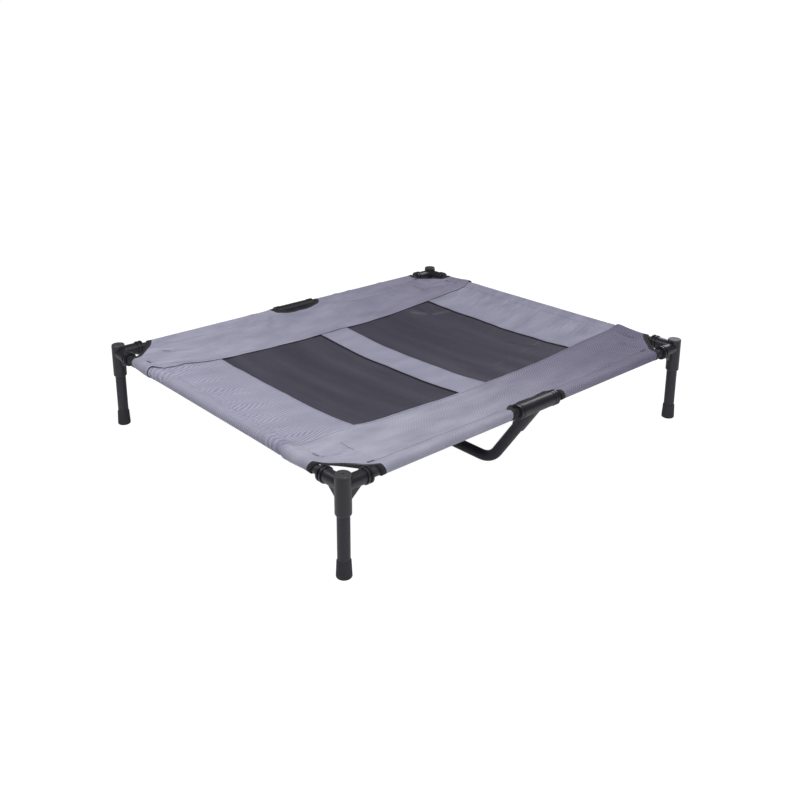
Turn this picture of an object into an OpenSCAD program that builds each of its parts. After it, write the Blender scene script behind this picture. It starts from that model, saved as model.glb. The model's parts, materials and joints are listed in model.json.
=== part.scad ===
/* [Overall] */
// Length over the connector collars, along X
cot_length = 914; // [760:1:1220]
// Width over the connector collars, along Y
cot_width = 762; // [640:1:920]
// Height of the corner plugs' tops above the floor
cot_height = 176; // [166:1:260]

/* [Tubes] */
// Outer diameter of the rails
rail_d = 16; // [15:0.5:18]
// Outer diameter of the legs and of the support bar
leg_d = 21; // [19:0.5:22]
// Wall of every tube
tube_wall = 1.2; // [0.8:0.1:2]
// Radial clearance of a tube in its socket
socket_clear = 0.1; // [0.05:0.05:0.3]
// Gap between a tube's end and the wall it stops at
end_clear = 0.2; // [0.1:0.1:0.6]

/* [Corner connectors] */
// Outer diameter of the barrel
barrel_d = 26.8; // [26:0.2:30]
// Outer diameter of the arms
arm_d = 24; // [22:0.2:25]
// Height of the barrel above the rail axis
barrel_rise = 14.4; // [13.4:0.2:20]
// Length of the barrel below the rail axis
barrel_drop = 49; // [42:1:60]
// Reach of each arm from the post axis
arm_reach = 51; // [48:1:70]
// Distance from the post axis to the wall where a rail stops
rail_stop = 16; // [14:0.5:22]
// Distance from the rail axis down to the wall where a leg stops
leg_stop = 2; // [1:0.5:8]
// Outer diameter of the collar rings
collar_d = 28.4; // [28:0.2:31]
// Width of a collar ring
collar_w = 4; // [3:0.5:5]
// Gap between the two collar rings of an arm
collar_gap = 3.5; // [2:0.5:5]
// Bevel on moulded edges
edge_bevel = 0.8; // [0.3:0.1:1.2]
// Thickness of the web under an arm
web_t = 8; // [4:0.5:12]
// Reach of the web along the arm from the post axis
web_reach = 33; // [28:1:36]
// Depth of the web on the barrel below the rail axis
web_drop = 28; // [22:1:38]

/* [Corner plugs] */
// Thickness of the plug's head
plug_head_h = 4; // [3:0.5:6]
// How far the head stays inside the barrel's outline
plug_inset = 0.3; // [0.1:0.1:1]
// Diameter of the plug's stem
plug_stem_d = 14; // [10:0.5:18]
// Length of the plug's stem
plug_stem_l = 8; // [5:0.5:9]
// Diameter of the moulding dimple in the head
dimple_d = 3; // [2:0.5:5]
// Depth of the moulding dimple
dimple_depth = 1.2; // [0.5:0.1:2]

/* [Rubber feet] */
// Height of a foot
foot_h = 30; // [22:1:40]
// Rubber wall round the leg at the foot's top
foot_wall = 1.2; // [1:0.1:2.5]
// How much wider the foot's radius is at its base
foot_flare = 1.2; // [0.5:0.1:2]
// Rubber under the end of the leg
foot_floor = 6; // [4:0.5:9]
// Rounding of the foot's base
foot_round = 3; // [1.5:0.5:4]

/* [Tee connectors] */
// Outer diameter of the tee's body
tee_d = 26.6; // [26.2:0.2:27.4]
// Half length of the tee's body along X
tee_half = 52; // [46:1:70]
// Distance from the tee's middle to the wall where a rail stops
tee_stop = 9; // [6:0.5:14]
// Outer diameter of the branch
branch_d = 25.6; // [24.6:0.2:26]
// Slope of the branch below the horizontal, in degrees
branch_slope = 55; // [48:1:60]
// Reach of the branch from the tee's axis
branch_reach = 66; // [58:1:80]
// Distance along the branch to the wall where the support bar stops
branch_stop = 24; // [20:1:32]

/* [Support bar] */
// Radius of the bar's bends, at its middle line
bar_bend_r = 50; // [40:1:80]
// Gap between the bar and the floor
bar_lift = 1; // [0.5:0.5:20]
// How much the tube's radius draws in at a bend
bend_draw = 0.1; // [0.05:0.05:0.3]

/* [Cover] */
// Thickness of the cloth
cover_t = 0.8; // [0.6:0.1:1.2]
// Sag of the cover at its middle
cover_sag = 40; // [15:1:55]
// Distance from a long rail's axis to the inner seam of its flap
flap_w = 150; // [135:1:175]
// How far the flap's seam bends towards the long rail at its ends
seam_bow = 18; // [0:1:24]
// Distance from an end rail's axis to the net
end_panel_w = 152; // [120:1:180]
// Width of the strip between the two nets
strip_w = 76; // [40:1:120]
// Gap between two panels at their seam
seam_gap = 0.3; // [0.2:0.1:0.5]
// Distance from a rail's axis to the stitch line of its sleeve
hem_w = 24; // [20:1:34]
// Width of the hem beyond the stitch line
hem_lap = 8; // [5:1:14]
// Gap between a rail and the cover on it
sleeve_gap = 0.3; // [0.2:0.1:0.6]
// Gap between the hem and the cloth above it
hem_gap = 0.3; // [0.2:0.1:0.6]

/* [Cut-outs] */
// Gap along the rail from a corner connector to the cut edge of the cloth
corner_cut_clear = 5; // [4:0.5:10]
// Gap along the rail from a tee to the cut edge of the cloth
tee_cut_clear = 6; // [5:0.5:12]
// Depth of the cut-out behind the tee's body
tee_cut_gap = 8; // [6:1:30]
// How far the cut edge leans away from the connector under the rail
cut_lean = 8; // [0:1:30]
// Droop of the cloth's free edge at a corner
corner_droop = 6; // [0:0.5:10]
// How far past the free edge at a corner the droop fades out
corner_fade = 150; // [80:5:200]
// Droop of the cloth's free edge at a tee
tee_droop = 4; // [0:0.5:7]
// Width of the tape folded round a cut edge
binding_w = 10; // [8:1:14]
// Thickness of the folded tape with the cloth's edge in its fold
binding_t = 1.6; // [1.2:0.1:2]
// Gap between the tape and the edge of the panel it finishes
binding_gap = 0.6; // [0.4:0.1:1]

/* [Hidden] */
corner_names = ["front_left", "front_right", "back_right", "back_left"];
half_names = ["front_left", "front_right", "back_left", "back_right"];

$fn = 64;
cut_over = 1;
bar_weld = 0.5;
plastic = "#2b2b2e";
steel = "#26262a";
rubber = "#222224";
light_cloth = "#9a98ae";
dark_net = "#4c4a56";
tape = "#2a282e";

rail_r = rail_d / 2;
leg_r = leg_d / 2;
barrel_r = barrel_d / 2;
arm_r = arm_d / 2;
tee_r = tee_d / 2;
collar_r = collar_d / 2;
collar_bevel = min(edge_bevel, (collar_r - tee_r) / 2);
collar_pitch = collar_w + collar_gap;
post_x = cot_length / 2 - collar_r;
post_y = cot_width / 2 - collar_r;
rail_z = cot_height - plug_head_h - barrel_rise;
foot_top_r = leg_r + socket_clear + foot_wall;
foot_base_r = foot_top_r + foot_flare;

// The support bar in its own plane, from the tee's axis down the branch to the floor run
bar_z = bar_lift + leg_r;
bar_bend_len = bar_bend_r * tan(branch_slope / 2);
bar_knee_y = post_y - (rail_z - bar_z) / tan(branch_slope);
bar_flat_y = bar_knee_y - bar_bend_len;
bar_slant_len = (rail_z - bar_z) / sin(branch_slope) - bar_bend_len;

// The cloth's middle layer: a sleeve round each rail and a sheet that sags between the rails
rail_pull = atan(2 * cover_sag / min(post_x, post_y));
sleeve_r = rail_r / cos(rail_pull) + max(cover_t, binding_t) / 2 + sleeve_gap;
crest_z = rail_z + sleeve_r;
wrap_turn = 220;
wrap_len = sleeve_r * wrap_turn * PI / 180;
wrap_end = [sleeve_r * sin(wrap_turn), sleeve_r * (1 - cos(wrap_turn))];
tail_len = norm([hem_w + wrap_end[0], wrap_end[1]]);
hem_drop = cover_t + hem_gap;
wrap_steps = 12;
wraps = concat(
    [for (k = [1 : wrap_steps]) wrap_len * k / wrap_steps],
    [wrap_len + tail_len, wrap_len + tail_len + hem_lap]
);
seam_bow_power = 6;

// Cut-outs of the cloth, measured from a post's axis and from a tee's middle
corner_cut_r = arm_reach + corner_cut_clear;
corner_cut_power = 1.15;
corner_cut_mid = 2 * corner_cut_r * pow(0.5, corner_cut_power / 2);
corner_droop_end = corner_cut_mid + corner_fade;
flap_edge = binding_w + binding_gap;
tee_cut_x = tee_half + tee_cut_clear;
tee_cut_y = tee_r + tee_cut_gap;
tee_cut_power = 0.6;
tee_droop_x = 1.6 * tee_cut_x;
tee_droop_fade = 2;
corner_cut_steps = 6;
tee_cut_steps = 6;
sleeve_steps = 5;
flap_rows = 4;
end_rows = 8;
net_cols = 6;
panel_rows = 8;
slope_step = 0.05;

function mix(a, b, f) = a + (b - a) * f;
function unit(v) = v / norm(v);
function clamp01(f) = max(0, min(1, f));

// Drop of the free edges near a post, u and v being the distances from it along the two rails
function corner_fall(u, v) =
    let (across = u + v, spread = across > 0 ? 4 * u * v / (across * across) : 0)
    let (fade = clamp01((corner_droop_end - across) / (corner_droop_end - corner_cut_mid)))
    corner_droop * spread * spread * fade * fade;

// Drop of the free edge behind a tee
function tee_fall(x, v) =
    let (along = 1 - pow(min(1, x / tee_droop_x), 2), deep = v / tee_cut_y)
    let (ramp = deep < 1 ? deep * deep * (3 - 2 * deep) : clamp01(1 - (deep - 1) / tee_droop_fade))
    tee_droop * along * along * ramp;

// Fall of the sheet below the tops of the sleeves
function fall(x, y) =
    let (u = max(0, post_x - abs(x)), v = max(0, post_y - abs(y)))
    let (bowl = (1 - pow(1 - u / post_x, 2)) * (1 - pow(1 - v / post_y, 2)))
    cover_sag * bowl + corner_fall(u, v) + tee_fall(abs(x), v);

// Fall of the sheet at a distance inside an end rail or a long rail
function fall_inside(d, p, q, end_rail) = end_rail ? fall(post_x - d, q) : fall(p, post_y - d);

// Cloth that runs on past a rail's top by e: [offset outwards from the rail's axis, drop below its top]
function wrap(e, p, q, end_rail) =
    let (turn = min(e, wrap_len) / sleeve_r * 180 / PI)
    let (d = hem_w + max(0, e - wrap_len - tail_len))
    let (hem = [-d, fall_inside(d, p, q, end_rail) + hem_drop])
    e <= wrap_len ? [sleeve_r * sin(turn), sleeve_r * (1 - cos(turn))]
    : mix(wrap_end, hem, clamp01((e - wrap_len) / tail_len));

// Place of a point of the flat cloth, p along X and q along Y, once it is stretched over the rails
function place(p, q) =
    let (past_x = abs(p) - post_x, past_y = abs(q) - post_y)
    let (wx = wrap(past_x, p, q, true), wy = wrap(past_y, p, q, false))
    past_x > 0 ? [sign(p) * (post_x + wx[0]), q, crest_z - wx[1]]
    : past_y > 0 ? [p, sign(q) * (post_y + wy[0]), crest_z - wy[1]]
    : [p, q, crest_z - fall(p, q)];

// A point at a height over the cloth's middle layer
function skin(p, q, level) =
    let (dp = place(p + slope_step, q) - place(p - slope_step, q))
    let (dq = place(p, q + slope_step) - place(p, q - slope_step))
    place(p, q) + level * unit(cross(dp, dq));

function seam_q(p) = post_y - flap_w + seam_bow * pow(min(1, abs(p) / post_x), seam_bow_power);
function lean(e) = cut_lean * (1 - cos(180 * clamp01(e / wrap_len))) / 2;

// Ends of a sleeve at e past the rail's top, d inside the cut edge, at a tee, at a post and on an end rail
function tee_end(e, d) = tee_cut_x + lean(e) + d;
function post_end(e, d) = post_x - corner_cut_r - lean(e) - d;
function ear_end(e, d) = post_y - corner_cut_r - lean(e) - d;
function sleeve_p(f, e) = mix(tee_end(e, flap_edge), post_end(e, flap_edge), f);

// A line d inside the cut edge round a post, from the long rail's top to the end rail's top
function corner_edge(turn, d) = [
    post_x - (corner_cut_r + d) * pow(cos(turn), corner_cut_power),
    post_y - (corner_cut_r + d) * pow(sin(turn), corner_cut_power)
];

// A line d inside the cut edge behind a tee
function tee_edge(turn, d) = [
    (tee_cut_x + d) * sign(turn) * pow(abs(sin(turn)), tee_cut_power),
    post_y - (tee_cut_y + d) * pow(cos(turn), tee_cut_power)
];

// Columns of a flap from its middle to its end: [p, q of the outer edge, share of the sleeve's length]
function flap_half() = concat(
    [for (k = [0 : tee_cut_steps]) let (c = tee_edge(90 * k / tee_cut_steps, flap_edge))
        [c[0], c[1], k == tee_cut_steps ? 0 : undef]],
    [for (k = [1 : sleeve_steps]) let (f = k / sleeve_steps) [sleeve_p(f, 0), post_y, f]],
    [for (k = [1 : corner_cut_steps]) let (c = corner_edge(90 * k / corner_cut_steps, flap_edge))
        [c[0], c[1], undef]],
    [for (e = wraps) [post_x + e, ear_end(e, flap_edge), undef]]
);

function flap_column(c, side) = concat(
    [for (j = [0 : flap_rows]) [side * c[0], mix(seam_q(c[0]), c[1], j / flap_rows)]],
    [for (e = wraps) [side * (is_undef(c[2]) ? c[0] : sleeve_p(c[2], e)), post_y + e]]
);

function quad(a, b, c, d) = [[a, b, c], [a, c, d]];

// Closed sheet of cloth over a grid of flat points, reach being the rows that each strip has
module cloth(grid, reach, thick) {
    cols = len(grid);
    rows = len(grid[0]);
    layer = cols * rows;
    points = [for (level = [thick / 2, -thick / 2]) for (c = grid) for (f = c) skin(f[0], f[1], level)];
    top = function(i, j) i * rows + j;
    under = function(i, j) layer + i * rows + j;
    has = function(i, j) i >= 0 && i < cols - 1 && j >= 0 && j < reach[i];
    faces = [for (i = [0 : cols - 2]) for (j = [0 : reach[i] - 1]) each concat(
        quad(top(i, j), top(i, j + 1), top(i + 1, j + 1), top(i + 1, j)),
        quad(under(i, j), under(i + 1, j), under(i + 1, j + 1), under(i, j + 1)),
        has(i, j - 1) ? [] : quad(top(i, j), top(i + 1, j), under(i + 1, j), under(i, j)),
        has(i, j + 1) ? [] : quad(top(i + 1, j + 1), top(i, j + 1), under(i, j + 1), under(i + 1, j + 1)),
        has(i - 1, j) ? [] : quad(top(i, j + 1), top(i, j), under(i, j), under(i, j + 1)),
        has(i + 1, j) ? [] : quad(top(i + 1, j), top(i + 1, j + 1), under(i + 1, j + 1), under(i + 1, j))
    )];
    polyhedron(points, faces, convexity = 6);
}

// Panel between the two flaps, over a list of stations along X
module middle_panel(stations) {
    grid = [for (p = stations) [for (k = [0 : panel_rows])
        [p, mix(-1, 1, k / panel_rows) * (seam_q(p) - seam_gap)]]];
    cloth(grid, [for (p = stations) panel_rows], cover_t);
}

// Folded tape over pairs of flat points, each with its inner edge first and its cut edge last
module binding(pairs) {
    cloth(pairs, [for (p = pairs) 1], binding_t);
}

// Solid of revolution of an arm with its two collar rings, standing on its root
module collared_arm(r, reach) {
    ring = function(s) [
        [r, s],
        [collar_r - collar_bevel, s],
        [collar_r, s + collar_bevel],
        [collar_r, s + collar_w - collar_bevel],
        [collar_r - collar_bevel, s + collar_w],
        [r, s + collar_w]
    ];
    rings = concat(ring(reach - collar_w - collar_pitch), ring(reach - collar_w));
    rotate_extrude() polygon(concat([[0, 0], [r, 0]], rings, [[0, reach]]));
}

// Blind socket for a tube of radius r, with a bevelled mouth at reach
module socket(r, stop, reach) {
    socket_r = r + socket_clear;
    translate([0, 0, stop]) cylinder(r = socket_r, h = reach - stop + cut_over);
    translate([0, 0, reach - edge_bevel])
        cylinder(r1 = socket_r, r2 = socket_r + edge_bevel + cut_over, h = edge_bevel + cut_over);
}

module tube(r, length) {
    difference() {
        cylinder(r = r, h = length);
        translate([0, 0, -cut_over]) cylinder(r = r - tube_wall, h = length + 2 * cut_over);
    }
}

// Corner c, counted from the front left one, seen from the post's axis at floor level
module at_corner(c) {
    sides = [[-1, -1], [1, -1], [1, 1], [-1, 1]];
    translate([sides[c][0] * post_x, sides[c][1] * post_y, 0]) rotate([0, 0, 90 * c]) children();
}

module along_arms() {
    rotate([0, 90, 0]) children();
    rotate([-90, 0, 0]) children();
}

module arm_web() {
    root_z = -sqrt(arm_r * arm_r - web_t * web_t / 4);
    outline = [[0, 0], [web_reach, 0], [web_reach, root_z], [barrel_r, -web_drop], [0, -web_drop]];
    rotate([90, 0, 0]) linear_extrude(web_t, center = true) polygon(outline);
}

module barrel() {
    lip = 2 * edge_bevel;
    outline = [
        [0, -barrel_drop],
        [barrel_r - edge_bevel, -barrel_drop],
        [barrel_r, -barrel_drop + lip],
        [barrel_r, barrel_rise],
        [0, barrel_rise]
    ];
    rotate_extrude() polygon(outline);
}

module corner_connector(c) {
    plug_bore_r = plug_stem_d / 2 + socket_clear;
    plug_bore_l = plug_stem_l + end_clear;
    color(plastic) at_corner(c) translate([0, 0, rail_z]) difference() {
        union() {
            barrel();
            along_arms() collared_arm(arm_r, arm_reach);
            arm_web();
            rotate([0, 0, 90]) arm_web();
        }
        along_arms() socket(rail_r, rail_stop, arm_reach);
        rotate([180, 0, 0]) socket(leg_r, leg_stop, barrel_drop);
        translate([0, 0, barrel_rise - plug_bore_l]) cylinder(r = plug_bore_r, h = plug_bore_l + cut_over);
    }
}

module corner_plug(c) {
    head_r = barrel_r - plug_inset;
    stem_r = plug_stem_d / 2;
    outline = [
        [0, -plug_stem_l],
        [stem_r - edge_bevel, -plug_stem_l],
        [stem_r, -plug_stem_l + edge_bevel],
        [stem_r, 0],
        [head_r, 0],
        [head_r, plug_head_h - edge_bevel],
        [head_r - edge_bevel, plug_head_h],
        [dimple_d / 2, plug_head_h],
        [dimple_d / 2, plug_head_h - dimple_depth],
        [0, plug_head_h - dimple_depth]
    ];
    color(plastic) at_corner(c) translate([0, 0, rail_z + barrel_rise]) rotate_extrude() polygon(outline);
}

module leg_tube(c) {
    foot_end = foot_floor + end_clear;
    length = rail_z - leg_stop - end_clear - foot_end;
    color(steel) at_corner(c) translate([0, 0, foot_end]) tube(leg_r, length);
}

module rubber_foot(c) {
    outline = [
        [0, 0],
        [foot_base_r - foot_round, 0],
        [foot_base_r, foot_round],
        [foot_top_r, foot_h - edge_bevel],
        [foot_top_r - edge_bevel, foot_h],
        [0, foot_h]
    ];
    color(rubber) at_corner(c) difference() {
        rotate_extrude() union() {
            polygon(outline);
            translate([foot_base_r - foot_round, foot_round]) circle(foot_round);
        }
        translate([0, 0, foot_floor]) cylinder(r = leg_r + socket_clear, h = foot_h);
    }
}

// Half of a long side's rail, from a corner socket to the tee
module side_rail(x_side, y_side) {
    length = post_x - rail_stop - tee_stop - 2 * end_clear;
    color(steel) translate([x_side * (tee_stop + end_clear), y_side * post_y, rail_z])
        rotate([0, x_side * 90, 0]) tube(rail_r, length);
}

module end_rail(x_side) {
    half = post_y - rail_stop - end_clear;
    color(steel) translate([x_side * post_x, -half, rail_z]) rotate([-90, 0, 0]) tube(rail_r, 2 * half);
}

// Tee of the front rail, turned for the back one
module tee_connector(back) {
    color(plastic) rotate([0, 0, back ? 180 : 0]) translate([0, -post_y, rail_z]) difference() {
        union() {
            for (side = [-1, 1]) rotate([0, side * 90, 0]) collared_arm(tee_r, tee_half);
            rotate([-90 - branch_slope, 0, 0]) cylinder(d = branch_d, h = branch_reach);
        }
        for (side = [-1, 1]) rotate([0, side * 90, 0]) socket(rail_r, tee_stop, tee_half);
        rotate([-90 - branch_slope, 0, 0]) socket(leg_r, branch_stop, branch_reach);
    }
}

// Front slant and bend of the support bar at a given radius
module bar_end(r) {
    start = branch_stop + end_clear;
    translate([0, -post_y, rail_z]) rotate([-90 - branch_slope, 0, 0])
        translate([0, 0, start]) cylinder(r = r, h = bar_slant_len - start + bar_weld);
    translate([0, -bar_flat_y, bar_z + bar_bend_r]) rotate([0, 0, 180]) rotate([0, 90, 0])
        rotate_extrude(angle = branch_slope) translate([bar_bend_r, 0]) circle(r - bend_draw);
}

// The whole bar at a given radius: both ends and the run along the floor
module bar_solid(r) {
    run_y = bar_flat_y + bar_weld;
    bar_end(r);
    mirror([0, 1, 0]) bar_end(r);
    translate([0, -run_y, bar_z]) rotate([-90, 0, 0]) cylinder(r = r, h = 2 * run_y);
}

module center_support_bar() {
    color(steel) difference() {
        bar_solid(leg_r);
        bar_solid(leg_r - tube_wall);
    }
}

// Long side panel with its sleeves, made at the back and mirrored for the front
module flap(back) {
    half = flap_half();
    last = len(half) - 1;
    left = [for (k = [last : -1 : 1]) half[k]];
    columns = concat(left, half);
    grid = concat([for (c = left) flap_column(c, -1)], [for (c = half) flap_column(c, 1)]);
    reach = [for (i = [0 : len(columns) - 2])
        is_undef(columns[i][2]) || is_undef(columns[i + 1][2]) ? flap_rows : flap_rows + len(wraps)];
    color(light_cloth) mirror([0, back ? 0 : 1, 0]) cloth(grid, reach, cover_t);
}

// End panel with its sleeve, made at the right and turned for the left
module end_panel(right) {
    start = post_x - end_panel_w + seam_gap / 2;
    stations = concat(
        [for (k = [0 : end_rows]) mix(start, post_x, k / end_rows)],
        [for (e = wraps) post_x + e]
    );
    color(light_cloth) rotate([0, 0, right ? 0 : 180]) middle_panel(stations);
}

module center_strip() {
    half = (strip_w - seam_gap) / 2;
    color(light_cloth) middle_panel([-half, 0, half]);
}

module net_panel(right) {
    from = (strip_w + seam_gap) / 2;
    to = post_x - end_panel_w - seam_gap / 2;
    color(dark_net) rotate([0, 0, right ? 0 : 180])
        middle_panel([for (k = [0 : net_cols]) mix(from, to, k / net_cols)]);
}

// Tape of the back right corner, mirrored to the others
module corner_binding(c) {
    across = [binding_w, 0];
    pairs = concat(
        [for (k = [wrap_steps - 1 : -1 : 0]) [for (d = across) [post_end(wraps[k], d), post_y + wraps[k]]]],
        [for (k = [0 : corner_cut_steps]) [for (d = across) corner_edge(90 * k / corner_cut_steps, d)]],
        [for (k = [0 : wrap_steps - 1]) [for (d = across) [post_x + wraps[k], ear_end(wraps[k], d)]]]
    );
    left = c == 0 || c == 3;
    front = c < 2;
    color(tape) mirror([left ? 1 : 0, 0, 0]) mirror([0, front ? 1 : 0, 0]) binding(pairs);
}

// Tape of the back tee, mirrored for the front one
module tee_binding(back) {
    across = [binding_w, 0];
    side_pairs = [for (k = [0 : wrap_steps - 1]) let (e = wraps[k])
        [for (d = across) [tee_end(e, d), post_y + e]]];
    pairs = concat(
        [for (k = [wrap_steps - 1 : -1 : 0]) [for (f = side_pairs[k]) [-f[0], f[1]]]],
        [for (k = [-tee_cut_steps : tee_cut_steps]) [for (d = across) tee_edge(90 * k / tee_cut_steps, d)]],
        side_pairs
    );
    color(tape) mirror([0, back ? 0 : 1, 0]) binding(pairs);
}

for (c = [0 : 3]) {
    corner_connector(c);
    corner_plug(c);
    leg_tube(c);
    rubber_foot(c);
    corner_binding(c);
}
side_rail(-1, -1);  // side_rail_front_left
side_rail(1, -1);  // side_rail_front_right
side_rail(-1, 1);  // side_rail_back_left
side_rail(1, 1);  // side_rail_back_right
end_rail(-1);  // end_rail_left
end_rail(1);  // end_rail_right
tee_connector(false);  // tee_connector_front
tee_connector(true);  // tee_connector_back
center_support_bar();
flap(false);  // front_flap
flap(true);  // back_flap
end_panel(false);  // left_end_panel
end_panel(true);  // right_end_panel
center_strip();
net_panel(false);  // left_net_panel
net_panel(true);  // right_net_panel
tee_binding(false);  // tee_binding_front
tee_binding(true);  // tee_binding_back
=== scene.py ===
import json
import math

import bpy
from mathutils import Vector, noise
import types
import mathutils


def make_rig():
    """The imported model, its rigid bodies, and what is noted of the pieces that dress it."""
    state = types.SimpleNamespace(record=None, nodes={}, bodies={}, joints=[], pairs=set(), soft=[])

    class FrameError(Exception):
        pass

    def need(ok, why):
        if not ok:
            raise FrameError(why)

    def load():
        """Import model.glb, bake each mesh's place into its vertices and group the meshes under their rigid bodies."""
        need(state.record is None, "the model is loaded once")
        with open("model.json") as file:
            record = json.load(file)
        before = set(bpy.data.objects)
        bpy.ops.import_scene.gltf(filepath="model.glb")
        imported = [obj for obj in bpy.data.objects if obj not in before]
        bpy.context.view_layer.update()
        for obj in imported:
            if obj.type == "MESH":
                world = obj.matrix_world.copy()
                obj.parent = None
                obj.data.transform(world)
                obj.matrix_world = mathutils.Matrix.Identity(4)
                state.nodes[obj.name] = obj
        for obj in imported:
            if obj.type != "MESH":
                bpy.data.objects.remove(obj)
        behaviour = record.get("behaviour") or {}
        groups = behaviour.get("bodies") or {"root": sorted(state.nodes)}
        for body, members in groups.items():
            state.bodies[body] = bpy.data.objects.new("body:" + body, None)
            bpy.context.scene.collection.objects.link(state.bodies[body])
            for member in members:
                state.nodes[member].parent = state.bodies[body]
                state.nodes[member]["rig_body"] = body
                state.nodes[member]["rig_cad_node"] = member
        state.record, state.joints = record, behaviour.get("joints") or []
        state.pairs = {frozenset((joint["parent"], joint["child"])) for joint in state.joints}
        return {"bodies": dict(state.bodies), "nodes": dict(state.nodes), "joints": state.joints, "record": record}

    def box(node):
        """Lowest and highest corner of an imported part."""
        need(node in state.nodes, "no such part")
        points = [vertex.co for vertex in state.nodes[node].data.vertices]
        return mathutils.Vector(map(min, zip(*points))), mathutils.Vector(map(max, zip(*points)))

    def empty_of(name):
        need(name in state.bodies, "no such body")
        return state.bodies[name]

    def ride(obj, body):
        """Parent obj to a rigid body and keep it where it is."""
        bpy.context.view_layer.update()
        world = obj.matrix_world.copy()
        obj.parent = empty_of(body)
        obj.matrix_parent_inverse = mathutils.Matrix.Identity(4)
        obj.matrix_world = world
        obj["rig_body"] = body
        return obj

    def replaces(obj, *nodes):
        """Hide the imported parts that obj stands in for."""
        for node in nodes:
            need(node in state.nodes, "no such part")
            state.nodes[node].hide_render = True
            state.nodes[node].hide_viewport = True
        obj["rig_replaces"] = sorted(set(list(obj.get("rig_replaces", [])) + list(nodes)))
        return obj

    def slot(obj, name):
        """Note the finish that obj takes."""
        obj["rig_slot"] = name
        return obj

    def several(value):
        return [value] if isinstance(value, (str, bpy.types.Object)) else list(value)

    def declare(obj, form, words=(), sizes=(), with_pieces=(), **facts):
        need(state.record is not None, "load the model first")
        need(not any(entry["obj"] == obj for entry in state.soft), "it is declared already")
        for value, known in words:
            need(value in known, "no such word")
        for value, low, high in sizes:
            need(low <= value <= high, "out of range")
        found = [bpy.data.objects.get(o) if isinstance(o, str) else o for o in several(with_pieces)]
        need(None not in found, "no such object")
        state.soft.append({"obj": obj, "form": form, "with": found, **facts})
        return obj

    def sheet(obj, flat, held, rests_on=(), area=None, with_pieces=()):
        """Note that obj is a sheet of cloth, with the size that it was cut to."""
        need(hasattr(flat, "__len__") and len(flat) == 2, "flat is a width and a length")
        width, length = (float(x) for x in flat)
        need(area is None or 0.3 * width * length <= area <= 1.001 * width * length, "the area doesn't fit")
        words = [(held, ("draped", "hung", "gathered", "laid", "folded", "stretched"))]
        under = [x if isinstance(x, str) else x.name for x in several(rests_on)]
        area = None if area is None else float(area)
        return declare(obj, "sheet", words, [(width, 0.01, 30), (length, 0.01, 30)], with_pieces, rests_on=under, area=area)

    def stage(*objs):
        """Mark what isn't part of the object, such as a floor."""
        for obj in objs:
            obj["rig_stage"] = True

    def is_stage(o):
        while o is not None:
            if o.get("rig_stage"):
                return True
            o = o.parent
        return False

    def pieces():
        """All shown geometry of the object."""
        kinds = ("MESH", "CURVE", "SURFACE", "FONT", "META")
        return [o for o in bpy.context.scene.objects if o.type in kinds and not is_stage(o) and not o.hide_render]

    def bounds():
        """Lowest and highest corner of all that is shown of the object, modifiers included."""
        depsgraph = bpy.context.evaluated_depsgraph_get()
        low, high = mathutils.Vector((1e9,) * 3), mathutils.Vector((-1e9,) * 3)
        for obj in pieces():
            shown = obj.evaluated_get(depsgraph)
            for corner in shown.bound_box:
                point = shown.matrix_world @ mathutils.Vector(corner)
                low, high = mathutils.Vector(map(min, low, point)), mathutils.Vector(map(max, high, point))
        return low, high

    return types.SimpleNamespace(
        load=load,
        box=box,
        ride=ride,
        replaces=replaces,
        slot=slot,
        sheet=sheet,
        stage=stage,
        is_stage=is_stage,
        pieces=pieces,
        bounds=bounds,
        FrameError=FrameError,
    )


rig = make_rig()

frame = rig.load()
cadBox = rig.bounds()
bpy.ops.object.select_all(action="DESELECT")
print("frame loaded with", len(frame["nodes"]), "nodes")

mm = 0.001
cornerSides = {"front_left": (-1, -1), "front_right": (1, -1), "back_right": (1, 1), "back_left": (-1, 1)}

# the sewn cover as it was cut and hung
cover = {
    "cloth": 0.8 * mm,  # thickness of one layer
    "sag": 35.7 * mm,
    "sagPower": 2.5,
    "hem": 24 * mm,  # rail axis to the sleeve's stitch line
    "hemLap": 8 * mm,
    "hemGap": 1.6 * mm,
    "sleeveDrop": 4.6 * mm,  # how far the stitch line draws the cloth down
    "sleeveStart": -6 * mm,  # where that begins, inside the rail
    "sleeveFade": 110 * mm,  # where it ends
    "sleeveEnds": (34 * mm, 82 * mm),  # from a corner: where it sets in, and where it is full
    "flap": 152 * mm,  # rail axis to the flap's inner edge
    "seamBow": 9 * mm,
    "seamPower": 14,
    "endPanel": 152 * mm,
    "strip": 76 * mm,
    "underlap": 9 * mm,  # how far a panel runs on under its neighbour
    "wrapTurn": 220,
    "cutLean": 8 * mm,
    "cutPowers": {"front_left": 1.85, "front_right": 1.75, "back_right": 1.3, "back_left": 1.7},
    "teePower": 0.8,
    "cornerClear": 14 * mm,  # cut's edge beyond a corner connector's arm
    "cornerDroop": 1 * mm,
    "cornerFade": 150 * mm,
    "teeClear": 7 * mm,  # cut's edge beyond a tee's end
    "teeShallow": 5 * mm,
    "teeDroop": 2.5 * mm,
    "teeReach": (0.6, 1.6),  # shares of the tee cut's half width
    "tape": 10 * mm,  # width of the folded tape
    "tapeHold": 2.5 * mm,  # cloth inside the tape's fold
}

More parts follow.
